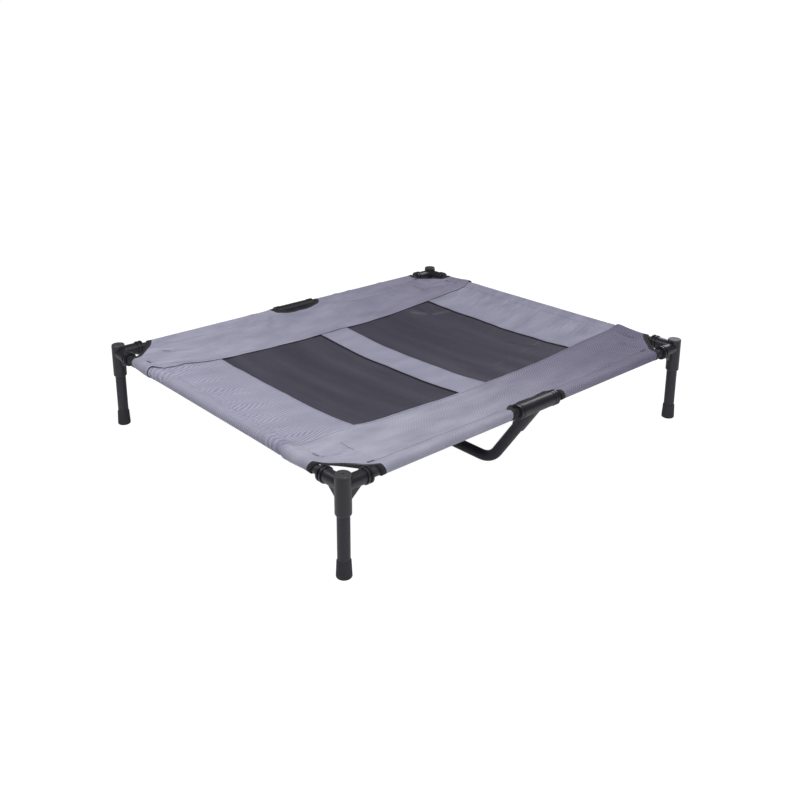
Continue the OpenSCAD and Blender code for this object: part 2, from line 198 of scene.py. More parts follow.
# sizes that come from the frame
legLow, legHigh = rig.box("leg_tube_back_right")
postX = (legLow.x + legHigh.x) / 2
postY = (legLow.y + legHigh.y) / 2
railLow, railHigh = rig.box("end_rail_right")
railZ = (railLow.z + railHigh.z) / 2
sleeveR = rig.box("right_end_panel")[1].x - postX - cover["cloth"] / 2
crestZ = railZ + sleeveR
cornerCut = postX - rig.box("corner_connector_back_right")[0].x + cover["cornerClear"]
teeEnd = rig.box("tee_connector_back")[1].x
teeCutX = teeEnd + cover["teeClear"]
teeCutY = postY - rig.box("tee_binding_back")[0].y - cover["tape"] - cover["teeShallow"]

turnEnd = math.radians(cover["wrapTurn"])
wrapLength = sleeveR * turnEnd
wrapEnd = Vector((math.sin(turnEnd), 1 - math.cos(turnEnd))) * sleeveR
tailLength = (Vector((-cover["hem"], 0)) - wrapEnd).length
hemDrop = cover["cloth"] + cover["hemGap"]
clothEdge = cover["tape"] - cover["tapeHold"]
print("sleeve", round(sleeveR, 5), "corner cut", round(cornerCut, 4))
print("tee cut", round(teeCutX, 4), "by", round(teeCutY, 4))


def clamp01(f):
    return max(0.0, min(1.0, f))


def mix(a, b, f):
    return a + (b - a) * f


def ease(low, high, x):
    f = clamp01((x - low) / (high - low))
    return f * f * (3 - 2 * f)


def bell(x, width):
    return math.exp(-(x / width) ** 2)


def steps(low, high, count):
    return [mix(low, high, k / count) for k in range(count + 1)]


# steps of about one size, with finer ones round a line
def finerSteps(low, high, size, line, reach, fine):
    marks = []
    at = low
    while at < high:
        marks.append(at)
        at += fine if abs(at - line) < reach else size
    if high - marks[-1] < 0.4 * fine:
        marks.pop()
    return marks + [high]


# how the stretched cover falls below the rails
def cornerFall(u, v):
    across = u + v
    spread = 4 * u * v / (across * across) if across > 0 else 0
    fade = clamp01((cornerCut + cover["cornerFade"] - across) / cover["cornerFade"])
    return cover["cornerDroop"] * spread ** 2 * fade ** 2


def teeFall(x, v):
    along = 1 - min(1, x / (cover["teeReach"][1] * teeCutX)) ** 2
    deep = v / teeCutY
    ramp = deep * deep * (3 - 2 * deep) if deep < 1 else clamp01(1 - (deep - 1) / 2)
    return cover["teeDroop"] * along ** 2 * ramp


# a sleeve's top layer runs down to its stitch line, d inside the rail
def sleeveFall(d, fromCorner):
    start, end = cover["sleeveStart"], cover["sleeveFade"]
    if d > end:
        return 0.0
    kink = ease(start, cover["hem"], d) - ease(start, cover["hem"], 0)
    fade = 1 - ease(cover["hem"], end, d)
    return cover["sleeveDrop"] * kink * fade * ease(*cover["sleeveEnds"], fromCorner)


def fall(x, y):
    u = max(0, postX - abs(x))
    v = max(0, postY - abs(y))
    bowl = (1 - (1 - u / postX) ** cover["sagPower"]) * (1 - (1 - v / postY) ** cover["sagPower"])
    near, far = cover["teeReach"]
    kinks = sleeveFall(v, u) * ease(near * teeCutX, far * teeCutX, abs(x)) + sleeveFall(u, v)
    return cover["sag"] * bowl + kinks + cornerFall(u, v) + teeFall(abs(x), v)


# cloth that runs past a rail's top by e: offset outwards and drop
def roundRail(e, fallInside):
    if e <= wrapLength:
        turn = e / sleeveR
        return Vector((math.sin(turn), 1 - math.cos(turn))) * sleeveR
    inside = cover["hem"] + max(0, e - wrapLength - tailLength)
    hem = Vector((-inside, fallInside(inside) + hemDrop))
    return wrapEnd.lerp(hem, clamp01((e - wrapLength) / tailLength))


# where a point of the flat cut ends up, p along X and q along Y
def placeCloth(p, q):
    pastX = abs(p) - postX
    pastY = abs(q) - postY
    if pastX > 0:
        out = roundRail(pastX, lambda d: fall(postX - d, q))
        return Vector((math.copysign(postX + out.x, p), q, crestZ - out.y))
    if pastY > 0:
        out = roundRail(pastY, lambda d: fall(p, postY - d))
        return Vector((p, math.copysign(postY + out.x, q), crestZ - out.y))
    return Vector((p, q, crestZ - fall(p, q)))


def clothNormal(p, q):
    step = 0.05 * mm
    dp = placeCloth(p + step, q) - placeCloth(p - step, q)
    dq = placeCloth(p, q + step) - placeCloth(p, q - step)
    return dp.cross(dq).normalized()


def clothPoint(p, q, lift=0.0):
    return placeCloth(p, q) + clothNormal(p, q) * lift


def seamQ(p):
    return postY - cover["flap"] + cover["seamBow"] * min(1, abs(p) / postX) ** cover["seamPower"]


def lean(e):
    return cover["cutLean"] * (1 - math.cos(math.pi * clamp01(e / wrapLength))) / 2


def cornerEdge(turn, d, corner):
    r = cornerCut + d
    power = cover["cutPowers"][corner]
    return postX - r * max(0, math.cos(turn)) ** power, postY - r * max(0, math.sin(turn)) ** power


def teeEdge(turn, d):
    across = math.copysign(abs(math.sin(turn)) ** cover["teePower"], turn)
    deep = max(0, math.cos(turn)) ** cover["teePower"]
    return (teeCutX + d) * across, postY - (teeCutY + d) * deep


wrapStations = (steps(0, wrapLength, 22)[1:] + steps(wrapLength, wrapLength + tailLength, 5)[1:]
                + steps(wrapLength + tailLength, wrapLength + tailLength + cover["hemLap"], 2)[1:])

# wrinkles of the pulled cloth
folds = {
    "longPull": 2.6 * mm, "longWidth": 27 * mm,  # pull folds across the long rails
    "endPull": 4.4 * mm, "endWidth": 34 * mm,  # and across the end rails
    "pullLength": 150 * mm, "pullStart": 45 * mm, "pullFade": 85 * mm,
    "railEnds": (-4 * mm, 60 * mm),  # a rail's folds set in along it over this reach
    "pucker": 3.4 * mm, "puckerWidth": 13 * mm, "puckerReach": 15 * mm, "puckerShift": 5 * mm,
    "streak": 7.0 * mm, "streakWidth": 10 * mm, "streakLength": 160 * mm, "streakLean": 0.28,
    "streakLevel": 0.1, "streakFrom": (12 * mm, 36 * mm), "streakTo": (55 * mm, 120 * mm),
    "backCrisp": 0.3, "frontCrisp": (0.15, 0.6), "crispAlong": (-0.15, 0.25),
    "groove": 0.8 * mm, "grooveWidth": 2.6 * mm,  # along the stitch line
    "puff": 0.4 * mm, "puffWidth": 4 * mm, "puffShift": 7 * mm,  # on both sides of it
    "gatherLeft": 4.0 * mm, "gatherRight": 0.9 * mm, "gatherWidth": 9.5 * mm, "gatherPower": 1.2,
    "gatherReach": 90 * mm, "gatherInside": 40 * mm, "gatherUnder": (-0.75, -0.3),
    "gatherStart": (-1 * mm, 7 * mm), "wobble": 1.6, "wobbleSize": (16 * mm, 60 * mm),
    "wave": 2.2 * mm, "waveSize": 140 * mm, "waveEdge": 60 * mm,
    "hump": 1.2 * mm, "humpWidth": 10 * mm, "humpDepth": 15 * mm, "humpInside": 5 * mm,
    "calm": (6 * mm, 48 * mm),  # beyond a corner cut: where wrinkles set in, and where they are full
}

# creases by the corners and the back tee
# each is a run of (inside the end rail, inside the long rail), its lift and its width, all in mm
creases = {
    "front_left": [
        ([(24, 135), (24, 88), (60, 79)], -1.2, 2.6),
        ([(82, 107), (77, 78), (79, 66)], 1.9, 4.0),
        ([(66, 66), (112, 118), (150, 140)], 2.4, 13),
    ],
    "back_right": [
        ([(84, 39), (92, 94), (36, 92)], 4.6, 12.0),
        ([(116, 50), (124, 112)], -3.0, 12.0),
        ([(276, 6), (262, 34)], 3.0, 8.0),
        ([(176, 6), (164, 34)], 3.0, 8.0),
        ([(376, 34), (310, 62), (225, 70)], 5.5, 17.0),
        ([(384, 78), (300, 108), (220, 116)], -3.6, 18.0),
        ([(318, 6), (296, 34)], 3.2, 8.0),
    ],
    "back_left": [
        ([(62, 62), (100, 84), (150, 92)], 2.6, 9.0),
        ([(60, 100), (120, 120), (190, 124)], -2.0, 9.0),
        ([(374, 8), (350, 56)], 4.5, 9.0),
        ([(347, 26), (330, 56)], -2.2, 8.0),
        ([(326, 8), (314, 44)], 3.4, 9.0),
        ([(384, 40), (330, 74), (250, 90)], 4.2, 18.0),
    ],
    "front_right": [
        ([(60, 66), (98, 104), (130, 118)], 2.4, 8.0),
        ([(22, 124), (24, 84)], -1.3, 3.0),
        ([(36, 118), (54, 84)], 2.4, 7.0),
    ],
}


# points inside a corner, given in mm from its two rails
def insideCorner(corner, run):
    sx, sy = cornerSides[corner]
    return [(sx * (postX - a * mm), sy * (postY - b * mm)) for a, b in run]


creaseRuns = []
for corner, runs in creases.items():
    for run, lift, width in runs:
        points = [Vector(place) for place in insideCorner(corner, run)]
        creaseRuns.append((points, lift * mm, width * mm))


def toSegment(here, a, b):
    f = clamp01((here - a).dot(b - a) / (b - a).length_squared)
    return (here - a.lerp(b, f)).length, f


# folds that run in from a rail
def railFolds(along, inside, pull, width, seed, crisp):
    ridge = noise.noise(Vector((along / width, inside / folds["pullLength"], seed)))
    lift = pull * ridge * ease(0, folds["pullStart"], inside)
    lift *= math.exp(-max(0, inside) / folds["pullFade"])
    leaning = (along + folds["streakLean"] * inside) / folds["streakWidth"]
    streak = noise.noise(Vector((leaning, inside / folds["streakLength"], seed + 3.1)))
    sharp = crisp * folds["streak"] * max(0, streak - folds["streakLevel"])
    lift += sharp * ease(*folds["streakFrom"], inside) * (1 - ease(*folds["streakTo"], inside))
    toStitch = inside - cover["hem"]
    deep = inside / (4 * folds["puckerReach"])
    pinch = abs(noise.noise(Vector((along / folds["puckerWidth"], seed, deep))))
    lift += crisp * folds["pucker"] * pinch * bell(toStitch + folds["puckerShift"], folds["puckerReach"])
    lift -= folds["groove"] * bell(toStitch, folds["grooveWidth"])
    puffs = [bell(toStitch + s * folds["puffShift"], folds["puffWidth"]) for s in (-1, 1)]
    return lift + folds["puff"] * sum(puffs)


def creaseLift(p, q):
    lift = 0.0
    here = Vector((p, q))
    for points, height, width in creaseRuns:
        if p * points[0].x < 0 or q * points[0].y < 0:
            continue
        nearest = min(toSegment(here, a, b)[0] for a, b in zip(points, points[1:]))
        if nearest < 3 * width:
            lift += height * bell(nearest, width)
    return lift


# the cut's edge rides up on the collars of a tee
def teeHump(p, inY):
    collar = bell(abs(p) - teeEnd + folds["humpInside"], folds["humpWidth"])
    return folds["hump"] * collar * bell(inY - teeCutY, folds["humpDepth"])


def wrinkle(p, q):
    inX = postX - abs(p)
    inY = postY - abs(q)
    calm = ease(cornerCut + folds["calm"][0], cornerCut + folds["calm"][1], inX + inY)
    low, rise = folds["frontCrisp"]
    crisp = folds["backCrisp"] if q > 0 else low + rise * ease(*folds["crispAlong"], p)
    longSeed = 4.3 if q > 0 else 9.1
    endSeed = 2.7 if p > 0 else 6.5
    long = railFolds(p, inY, folds["longPull"], folds["longWidth"], longSeed, crisp)
    short = railFolds(q, inX, folds["endPull"], folds["endWidth"], endSeed, 1)
    lift = long * ease(*folds["railEnds"], inX) + short * ease(*folds["railEnds"], inY)
    wide = noise.noise(Vector((p, q, 0.31)) / folds["waveSize"])
    wide += 0.5 * noise.noise(Vector((p, q, 5.7)) * 2.4 / folds["waveSize"])
    lift += folds["wave"] * wide * ease(0, folds["waveEdge"], inX) * ease(0, folds["waveEdge"], inY)
    return (lift + creaseLift(p, q)) * calm + teeHump(p, inY)


# gathers of an end panel's sleeve beside the flap's seam
def gathers(p, q):
    inX = postX - abs(p)
    fromSeam = seamQ(p) - abs(q)
    low, high = [part * wrapLength for part in folds["gatherUnder"]]
    if fromSeam > folds["gatherReach"] or inX > folds["gatherInside"] or inX < low:
        return 0.0
    nearSeam = (1 - max(0, fromSeam) / folds["gatherReach"]) ** folds["gatherPower"]
    share = nearSeam * ease(*folds["gatherStart"], fromSeam)
    over = 1 - ease(0, folds["gatherInside"], inX)
    under = ease(low, high, inX)
    along, inward = folds["wobbleSize"]
    wobble = folds["wobble"] * noise.noise(Vector((q / along, p / inward, 1.9)))
    pleat = 0.5 + 0.5 * math.sin(2 * math.pi * fromSeam / folds["gatherWidth"] + wobble)
    height = folds["gatherRight"] if p > 0 else folds["gatherLeft"]
    return height * share * over * under * pleat


# a flat grid, with the column and row of each of its points
def flatGrid(name, across, along):
    bpy.ops.object.select_all(action="DESELECT")
    bpy.ops.mesh.primitive_grid_add(x_subdivisions=across, y_subdivisions=along, size=1)
    piece = bpy.context.object
    piece.name = name
    mesh = piece.data
    mesh.name = name
    index = [(round((v.co.x + 0.5) * across), round((v.co.y + 0.5) * along)) for v in mesh.vertices]
    return piece, mesh, index


def setFlat(mesh, index, flat):
    uv = mesh.uv_layers.active.data
    for loop in mesh.loops:
        uv[loop.index].uv = flat(*index[loop.vertex_index])


# a cut of cloth: a flat grid whose points go to their places on the cot
# each point is its flat place, its hung place, its lift and how much its cloth is marked
def clothSheet(name, columns, kept, rests):
    piece, mesh, index = flatGrid(name, len(columns) - 1, len(columns[0]) - 1)
    setFlat(mesh, index, lambda i, j: columns[i][j]["flat"])
    marks = mesh.attributes.new("paintedShadeAndLight", "FLOAT", "POINT")
    for v, (i, j) in zip(mesh.vertices, index):
        spot = columns[i][j]
        v.co = clothPoint(*spot["hung"], spot["lift"])
        marks.data[v.index].value = spot["mark"]
    bpy.ops.object.mode_set(mode="EDIT")
    bpy.ops.mesh.select_mode(type="FACE")
    bpy.ops.mesh.select_all(action="DESELECT")
    bpy.ops.object.mode_set(mode="OBJECT")
    area = 0.0
    for face in mesh.polygons:
        i = min(index[v][0] for v in face.vertices)
        j = min(index[v][1] for v in face.vertices)
        face.select = not kept(i, j)
        if kept(i, j):
            a, b, c = columns[i][j]["flat"], columns[i + 1][j]["flat"], columns[i][j + 1]["flat"]
            area += abs(b[0] - a[0]) * abs(c[1] - a[1])
    bpy.ops.object.mode_set(mode="EDIT")
    bpy.ops.mesh.delete(type="FACE")
    bpy.ops.object.mode_set(mode="OBJECT")
    body = piece.modifiers.new("thickness", "SOLIDIFY")
    body.thickness = cover["cloth"]
    body.offset = 0
    bpy.ops.object.modifier_apply(modifier="thickness")
    bpy.ops.object.shade_smooth_by_angle(angle=math.radians(50))
    flat = [[spot["flat"][k] for column in columns for spot in column] for k in (0, 1)]
    size = (max(flat[0]) - min(flat[0]), max(flat[1]) - min(flat[1]))
    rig.ride(piece, "root")
    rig.sheet(piece, flat=size, held="stretched", rests_on=rests, area=min(area, size[0] * size[1]))
    print(name, "cut", [round(s, 3) for s in size], "area", round(area, 4), "faces", len(mesh.polygons))
    return piece


def clothSpot(flat, hung, lift, mark=0.0):
    return {"flat": flat, "hung": hung, "lift": lift, "mark": mark}


# folded edges in mm: inside the edge by f, raised by h; the first half is the layer below
flapFold = [(14, 1.1), (8, 1.1), (3, 1.1), (0.9, 1.15), (0.2, 1.35), (0, 1.6),
            (0.2, 1.85), (0.9, 2.05), (3, 2.1), (8, 2.05), (14, 1.95)]
panelFold = [(12, -0.2), (6, -0.2), (2.6, -0.2), (0.8, -0.12), (0.2, 0.05), (0, 0.3),
             (0.2, 0.55), (0.8, 0.75), (2.6, 0.85), (6, 0.8), (12, 0.6)]


# how far inside a folded edge the cloth lies on what is under it
foldFades = {"flap": (14 * mm, 62 * mm), "panel": (12 * mm, 34 * mm)}
ear = {"height": 2.2 * mm, "width": 12 * mm, "inside": 4 * mm, "length": 16 * mm}


def flapLift(f):
    return flapFold[-1][1] * mm * (1 - ease(*foldFades["flap"], f))


# a flap's folded edge stands up where it crosses an end rail
def earHump(p, q):
    over = bell(abs(p) - postX, ear["width"])
    return ear["height"] * over * bell(q - seamQ(p) - ear["inside"], ear["length"])


flapCuts = {
    "teeSteps": 18, "sleeveSteps": 104, "cornerSteps": 26,
    "rowSize": 4.6 * mm, "rowFine": 1.4 * mm, "fineReach": 8 * mm,
    # the folded edge and the layer under it are painted dark: partly thread, partly painted shade under the fold
    "edgeMark": 0.6,  # how dark the sewn edge is
}


# f runs along a sleeve from the tee to the corner, e round the rail
def sleeveP(f, e):
    return mix(teeCutX + lean(e) + clothEdge, postX - cornerCut - lean(e) - clothEdge, f)


def flapHalf(corner):
    teeSteps = flapCuts["teeSteps"]
    teeRun = [teeEdge(math.pi / 2 * k / teeSteps, clothEdge) for k in range(teeSteps)]
    half = [(p, q, None) for p, q in teeRun] + [(sleeveP(0, 0), postY, 0.0)]
    for f in steps(0, 1, flapCuts["sleeveSteps"])[1:]:
        half.append((sleeveP(f, 0), postY, f))
    for turn in steps(0, math.pi / 2, flapCuts["cornerSteps"])[1:]:
        half.append((*cornerEdge(turn, clothEdge, corner), None))
    for e in wrapStations:
        half.append((postX + e, postY - cornerCut - lean(e) - clothEdge, None))
    return half


def makeFlap(name, node, side, rests):
    end = "front" if side < 0 else "back"
    line = [(-p, q, f) for p, q, f in reversed(flapHalf(end + "_left")[1:])] + flapHalf(end + "_right")
    wide = cover["flap"] - flapFold[-1][0] * mm
    fine = finerSteps(0, wide, flapCuts["rowSize"], wide - cover["hem"], flapCuts["fineReach"],
                      flapCuts["rowFine"])
    rows = [r / wide for r in fine[1:]]
    middle = len(flapFold) // 2
    columns = []
    for p, outer, share in line:
        seam = seamQ(p)
        column = []
        for k, (f, h) in enumerate(flapFold):
            q = seam + f * mm
            flat = (p, side * (seam - f * mm if k < middle else q))
            height = h * mm + earHump(p, q) + wrinkle(p, side * q)
            mark = flapCuts["edgeMark"] if k <= middle else 0.0
            column.append(clothSpot(flat, (p, side * q), height, mark))
        start = seam + flapFold[-1][0] * mm
        for r in rows:
            q = mix(start, outer, r)
            height = flapLift(q - seam) + earHump(p, q) + wrinkle(p, side * q)
            column.append(clothSpot((p, side * q), (p, side * q), height))
        for e in wrapStations:
            at = p if share is None else math.copysign(sleeveP(share, e), p)
            q = side * (postY + e)
            column.append(clothSpot((at, q), (at, q), wrinkle(at, q)))
        columns.append(column)
    sheetRows = len(flapFold) + len(rows) - 1

    def kept(i, j):
        return j < sheetRows or (line[i][2] is not None and line[i + 1][2] is not None)

    flap = clothSheet(name, columns, kept, rests)
    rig.replaces(flap, node)
    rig.slot(flap, "cover_cloth")
    return flap


# panels between the flaps
panelCuts = {
    "endRows": 300, "netRows": 150, "net": 3.4 * mm, "strip": 4 * mm,
    "endSize": 4.6 * mm, "endFine": 1.4 * mm, "fineReach": 8 * mm,
    "dip": 0.5 * mm, "dipReach": (-14 * mm, -3 * mm),  # under a flap's edge
}
netEdges = (cover["strip"] / 2, postX - cover["endPanel"])


# a panel lies a little lower under the flaps that cover its ends
def underFlap(p, q):
    return panelCuts["dip"] * ease(*panelCuts["dipReach"], abs(q) - seamQ(p))


# stations across a panel's folded edge: flat place, hung place, lift and how dark its edge is painted, partly for
# thread and partly as painted shade under the fold
def foldStations(edge, inward):
    stations = []
    for k, (f, h) in enumerate(panelFold):
        below = k < len(panelFold) // 2
        flat = edge - inward * f * mm if below else edge + inward * f * mm
        stations.append((flat, edge + inward * f * mm, h * mm, 1.0 if f < 1 else 0.0))
    return stations


def foldLift(f):
    return panelFold[-1][1] * mm * (1 - ease(*foldFades["panel"], f))


def makePanel(name, node, stations, rows, lift, slot, rests, wearAndPaintedLight=None):
    columns = []
    for flat, at, raised, thread in stations:
        reach = seamQ(at) + cover["underlap"]
        column = []
        for q in steps(-reach, reach, rows):
            height = raised + lift(at, q) - underFlap(at, q)
            # on a net the mark is its painted light; on other panels it is the dark colour of the folded edge, partly
            # thread and partly painted shade
            mark = wearAndPaintedLight(at, q) if wearAndPaintedLight else thread
            column.append(clothSpot((flat, q), (at, q), height, mark))
        columns.append(column)
    panel = clothSheet(name, columns, lambda i, j: True, rests)
    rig.replaces(panel, node)
    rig.slot(panel, slot)
    return panel


def endLift(p, q):
    return wrinkle(p, q) + gathers(p, q)


# a net dips under the lighter cloth that overlaps its sides, and is pinched by its corners
netFolds = {
    "dip": 1.5 * mm, "dipReach": (5 * mm, 40 * mm), "drape": 0.8 * mm, "drapeWidth": 46 * mm,
    "pinches": [((251, 201), (236, 150)), ((268, 192), (252, 138)), ((286, 172), (262, 128)),
                ((250, -100), (244, -60)), ((262, -150), (246, -108)), ((-262, 186), (-240, 146))],
    "pinch": 1.3 * mm, "pinchWidth": 4.5 * mm,
}


def netLift(p, q):
    inside = min(abs(p) - netEdges[0], netEdges[1] - abs(p))
    lift = wrinkle(p, q) - netFolds["dip"] * (1 - ease(*netFolds["dipReach"], inside))
    width = netFolds["drapeWidth"]
    lift += netFolds["drape"] * noise.noise(Vector((p / width, q / (5 * width), 3.3)))
    for a, b in netFolds["pinches"]:
        apart, f = toSegment(Vector((p, q)), Vector(a) * mm, Vector(b) * mm)
        lift += netFolds["pinch"] * (1 - f) * bell(apart, netFolds["pinchWidth"])
    return lift


# painted light: pale streaks on the nets where the lit floor would show through the mesh, in mm: both ends, half width
# and strength
netPaintedStreaks = [
    ((219, 191), (233, 166), 6.0, 0.65), ((247, 148), (286, 139), 5.0, 0.55),
    ((264, -139), (288, -137), 3.0, 0.3), ((218, -144), (240, -142), 3.0, 0.3),
    ((128, -153), (150, -151), 3.0, 0.3), ((278, 97), (289, 93), 3.0, 0.3),
]


# how strongly the painted light streaks lighten a net at a point
def netPaintedLightMask(p, q):
    wearAndPaintedLight = 0.0
    here = Vector((p, q)) / mm
    for a, b, width, strength in netPaintedStreaks:
        wearAndPaintedLight += strength * bell(toSegment(here, Vector(a), Vector(b))[0], width)
    return wearAndPaintedLight * (0.8 + 0.5 * noise.noise(Vector((p / (9 * mm), q / (9 * mm), 8.2))))


def mirrored(stations):
    return [(-flat, -at, h, t) for flat, at, h, t in reversed(stations)]


def netStations(side):
    low, high = netEdges[0] - cover["underlap"], netEdges[1] + cover["underlap"]
    plain = steps(low, high, round((high - low) / panelCuts["net"]))
    stations = [(p, p, 0.0, 0.0) for p in plain]
    return stations if side > 0 else mirrored(stations)


def endStations(side):
    edge = netEdges[1]
    stations = foldStations(edge, 1)
    fine = finerSteps(edge + panelFold[-1][0] * mm, postX, panelCuts["endSize"], postX - cover["hem"],
                      panelCuts["fineReach"], panelCuts["endFine"])
    stations += [(p, p, foldLift(p - edge), 0.0) for p in fine[1:]]
    stations += [(postX + e, postX + e, 0.0, 0.0) for e in wrapStations]
    return stations if side > 0 else mirrored(stations)


def stripStations():
    half = cover["strip"] / 2
    inner = half - panelFold[-1][0] * mm
    middle = steps(-inner, inner, round(2 * inner / panelCuts["strip"]))[1:-1]
    left = foldStations(-half, 1)
    return left + [(p, p, foldLift(half - abs(p)), 0.0) for p in middle] + mirrored(left)


longSides = {"front": -1, "back": 1}
endSides = {"right": 1, "left": -1}
lightPieces = {}
netPieces = {}
endRails = ["end_rail_left", "end_rail_right"]
for end, side in longSides.items():
    rails = ["side_rail_" + end + "_left", "side_rail_" + end + "_right"]
    lightPieces[end] = makeFlap(end + "_flap_cloth", end + "_flap", side, rails + endRails)
for end, side in endSides.items():
    lightPieces[end] = makePanel(end + "_end_cloth", end + "_end_panel", endStations(side),
                                 panelCuts["endRows"], endLift, "cover_cloth", ["end_rail_" + end])
lightPieces["strip"] = makePanel("center_strip_cloth", "center_strip", stripStations(),
                                 panelCuts["netRows"], wrinkle, "cover_cloth",
                                 ["front_flap_cloth", "back_flap_cloth"])
for end, side in endSides.items():
    netPieces[end] = makePanel(end + "_net_cloth", end + "_net_panel", netStations(side),
                               panelCuts["netRows"], netLift, "net_cloth", [end + "_end_cloth"], netPaintedLightMask)
print("cover panels done")

# tape folded round the cut edges: its section in mm, inside the edge by w, raised by h
tapeSection = [(10, 0.6), (6.5, 0.8), (3, 0.95), (0.8, 0.95), (-0.3, 0.6), (-0.7, 0),
               (-0.3, -0.6), (0.8, -0.95), (3, -0.95), (6.5, -0.8), (10, -0.6), (10.2, 0)]
# a tape twists about its hinge, in mm inside the edge
tapeCuts = {"cornerSteps": 44, "teeSteps": 48, "ringSteps": 20, "hinge": 9}
# turn of a tape's free edge in degrees, where it is along the tape and how far it reaches, as shares
tapeTwists = {
    "front_left": (27, 0.42, 0.11), "front_right": (-14, 0.5, 0.13),
    "back_right": (16, 0.5, 0.16), "back_left": (14, 0.55, 0.13), "tee": (0, 0.5, 0.2),
}


def makeTape(name, node, path, twist, rests):
    across = len(path) - 1
    around = len(tapeSection)
    tape, mesh, index = flatGrid(name, across, around)
    run = [0.0]
    for k in range(across):
        run.append(run[-1] + (clothPoint(*path[k + 1](0)) - clothPoint(*path[k](0))).length)
    setFlat(mesh, index, lambda i, j: (run[i], j * 2 * cover["tape"] / around))
    degrees, middle, reach = twist
    hinge = tapeCuts["hinge"]
    lifts = [wrinkle(*route(clothEdge + 1 * mm)) for route in path]
    for v, (i, j) in zip(mesh.vertices, index):
        w, h = tapeSection[j % around]
        turn = math.radians(degrees) * bell(i / across - middle, reach)
        inside = hinge + (w - hinge) * math.cos(turn) - h * math.sin(turn)
        raised = (w - hinge) * math.sin(turn) + h * math.cos(turn)
        p, q = path[i](inside * mm)
        v.co = clothPoint(p, q, raised * mm + lifts[i])
    bpy.ops.object.mode_set(mode="EDIT")
    bpy.ops.mesh.select_all(action="SELECT")
    bpy.ops.mesh.remove_doubles(threshold=0.01 * mm)
    bpy.ops.mesh.select_all(action="DESELECT")
    bpy.ops.mesh.select_mode(type="EDGE")
    bpy.ops.mesh.select_non_manifold()
    bpy.ops.mesh.edge_face_add()
    bpy.ops.mesh.select_all(action="SELECT")
    bpy.ops.mesh.normals_make_consistent(inside=False)
    bpy.ops.object.mode_set(mode="OBJECT")
    bpy.ops.object.shade_smooth_by_angle(angle=math.radians(55))
    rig.ride(tape, "root")
    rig.replaces(tape, node)
    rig.slot(tape, "binding_tape")
    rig.sheet(tape, flat=(cover["tape"], run[-1]), held="folded", rests_on=rests)
    print(name, "tape", round(run[-1], 3))
    return tape


def cornerPath(corner):
    sx, sy = cornerSides[corner]
    ring = steps(0, wrapLength, tapeCuts["ringSteps"])[1:]
    path = [lambda d, e=e: (sx * (postX - cornerCut - lean(e) - d), sy * (postY + e)) for e in ring[::-1]]
    for turn in steps(0, math.pi / 2, tapeCuts["cornerSteps"]):
        path.append(lambda d, t=turn: tuple(s * c for s, c in zip((sx, sy), cornerEdge(t, d, corner))))
    path += [lambda d, e=e: (sx * (postX + e), sy * (postY - cornerCut - lean(e) - d)) for e in ring]
    return path


def teePath(sy):
    ring = steps(0, wrapLength, tapeCuts["ringSteps"])[1:]
    path = [lambda d, e=e: (-(teeCutX + lean(e) + d), sy * (postY + e)) for e in ring[::-1]]
    for turn in steps(-math.pi / 2, math.pi / 2, tapeCuts["teeSteps"]):
        path.append(lambda d, t=turn: (teeEdge(t, d)[0], sy * teeEdge(t, d)[1]))
    path += [lambda d, e=e: (teeCutX + lean(e) + d, sy * (postY + e)) for e in ring]
    return path


tapes = []
for name, (sx, sy) in cornerSides.items():
    flap = "front_flap_cloth" if sy < 0 else "back_flap_cloth"
    tapes.append(makeTape("corner_tape_" + name, "corner_binding_" + name, cornerPath(name),
                          tapeTwists[name], [flap]))
for name, sy in longSides.items():
    tapes.append(makeTape("tee_tape_" + name, "tee_binding_" + name, teePath(sy),
                          tapeTwists["tee"], [name + "_flap_cloth"]))
print("tapes done")

# rows of stitches: one small capsule of thread, repeated along each sewn line
stitchLook = {
    "radius": 0.42 * mm, "length": 3.0 * mm, "pitch": 4.0 * mm, "proud": 0.2 * mm, "step": 3 * mm,
    # from a folded edge, from a sleeve's ends and from a panel's ends
    "hemInset": 6 * mm, "free": 8 * mm, "short": 2 * mm,
    "flapHem": 2.07 * mm, "panelHem": 0.8 * mm,  # how high the folded hems lie there
}


def stitchRows(name, runs):
    rows = []
    for run in runs:
        spline = bpy.data.curves.new(name + "_run", "CURVE")
        spline.dimensions = "3D"
        spline.twist_mode = "Z_UP"
        line = spline.splines.new("POLY")
        line.points.add(len(run) - 1)
        for point, place in zip(line.points, run):
            point.co = (*place, 1)
        guide = bpy.data.objects.new(name + "_run", spline)
        bpy.context.collection.objects.link(guide)
        bpy.ops.object.select_all(action="DESELECT")
        bpy.ops.mesh.primitive_uv_sphere_add(segments=6, ring_count=5, radius=1, location=(0, 0, 0))
        thread = bpy.context.object
        thread.rotation_euler = (0, math.pi / 2, 0)
        thread.scale = (stitchLook["radius"], stitchLook["radius"], stitchLook["length"] / 2)
        bpy.ops.object.transform_apply(location=False, rotation=True, scale=True)
        repeat = thread.modifiers.new("repeat", "ARRAY")
        repeat.fit_type = "FIT_CURVE"
        repeat.curve = guide
        repeat.use_relative_offset = False
        repeat.use_constant_offset = True
        repeat.constant_offset_displace = (stitchLook["pitch"], 0, 0)
        follow = thread.modifiers.new("follow", "CURVE")
        follow.object = guide
        follow.deform_axis = "POS_X"
        bpy.ops.object.modifier_apply(modifier="repeat")
        bpy.ops.object.modifier_apply(modifier="follow")
        bpy.data.objects.remove(guide)
        rows.append(thread)
    bpy.ops.object.select_all(action="DESELECT")
    for thread in rows:
        thread.select_set(True)
    bpy.context.view_layer.objects.active = rows[0]
    if len(rows) > 1:
        bpy.ops.object.join()
    sewn = bpy.context.view_layer.objects.active
    sewn.name = name
    sewn.data.name = name
    bpy.ops.object.shade_smooth()
    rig.ride(sewn, "root")
    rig.slot(sewn, "cover_cloth")
    print(name, "faces", len(sewn.data.polygons))
    return sewn


